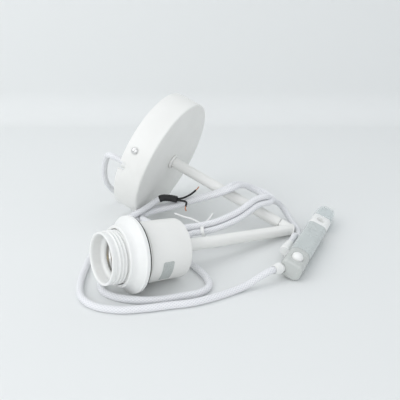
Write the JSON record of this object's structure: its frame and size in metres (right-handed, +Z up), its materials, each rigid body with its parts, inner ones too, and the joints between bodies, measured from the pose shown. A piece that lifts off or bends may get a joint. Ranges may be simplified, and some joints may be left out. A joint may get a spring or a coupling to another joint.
{
  "type": "corded wall lamp fitting with hand switch",
  "caption": "Wall lamp fitting: round canopy, bent tube arm and E27 lampholder with shade ring, plus an inline push-button hand switch on a long braided cord.",
  "frame": {"origin": "on the surface the fitting lies on, under the centre of the lamp fitting's box (canopy, arm and lampholder, without the free cord and its hand switch)", "axes": "+Z up from the surface; +Y away from the lampholder's mouth towards the canopy; +X towards the arm's elbow"},
  "size_m": [0.2261, 0.2429, 0.12],
  "materials": {
    "black_sleeve": "matt black heat shrink and insulation",
    "blue_pvc": "matt insulation",
    "brass": "satin",
    "brown_pvc": "matt insulation",
    "ceramic": "matt glazed ceramic",
    "clear_plastic": "clear moulding",
    "copper": "bare copper",
    "fabric": "braided textile",
    "grey_plastic": "translucent smoke grey moulding",
    "paper": "grey printed-label stock, blank",
    "steel": "zinc plated",
    "white_paint": "satin white powder coat",
    "white_plastic": "satin white moulding"
  },
  "bodies": {
    "fixture": {"arm_tube_upper": "white_paint", "elbow_nipple": "steel", "canopy_shell": "white_paint", "tube_collar": "white_paint", "tube_washer": "steel", "tube_nut": "steel", "canopy_crossbar": "steel", "side_screw_a": "steel", "side_screw_b": "steel", "earth_screw": "brass", "terminal_block": "white_plastic", "terminal_screw_1": "brass", "terminal_screw_2": "brass", "terminal_screw_3": "brass", "cord_clip": "white_plastic", "arm_tube_lower": "white_paint", "holder_housing": "white_paint", "holder_nut": "steel", "holder_barrel": "white_plastic", "screw_shell": "steel", "contact_base": "ceramic", "centre_contact": "brass", "contact_rivet": "brass", "live_terminal": "brass", "neutral_terminal": "brass", "rating_label": "paper", "lead_live": "brown_pvc", "lead_neutral": "blue_pvc", "cord_core_live": "brown_pvc", "cord_core_neutral": "blue_pvc", "switch_end_cap": "grey_plastic", "switch_lower_shell": "grey_plastic", "switch_upper_shell": "grey_plastic", "switch_collar": "white_plastic", "switch_nose": "clear_plastic", "nose_lamp": "clear_plastic", "lamp_seat": "white_plastic", "inlet_gland": "white_plastic", "outlet_gland": "white_plastic", "spring_plate": "white_plastic", "button_spring": "steel", "fixed_contact_a": "brass", "fixed_contact_b": "brass", "cord_to_hank": "fabric", "cord_hank": "fabric", "cord_to_switch": "fabric", "cord_to_end": "fabric", "heat_shrink_sleeve": "black_sleeve", "conductor_brown": "black_sleeve", "conductor_blue": "black_sleeve", "copper_tip_brown": "copper", "copper_tip_blue": "copper", "hank_tie": "white_plastic"},
    "ring_washer": {"slip_washer": "black_sleeve"},
    "shade_ring": {"shade_ring": "white_plastic"},
    "button": {"push_button": "white_plastic", "contact_bridge": "copper"}
  },
  "joints": [
    {"name": "washer_slide", "type": "slide", "parent": "fixture", "child": "ring_washer", "axis": [-0.8139, -0.5636, 0.1414], "range_m": [0, 0.005]},
    {"name": "ring_spin", "type": "hinge", "parent": "ring_washer", "child": "shade_ring", "pos_m": [-0.05756, -0.09161, 0.02949], "axis": [-0.8139, -0.5636, 0.1414], "range_deg": [0, 720]},
    {"name": "button_press", "type": "slide", "parent": "fixture", "child": "button", "axis": [0.31, -0.1445, 0.9397], "range_m": [-0.002, 0], "stiffness_N_per_m": 400, "springref_m": 0.0015, "deforming": ["button_spring"]}
  ],
  "couplings": [
    {"joint": "washer_slide", "follows": "ring_spin", "m_per_rad": 0.00039789}
  ]
}
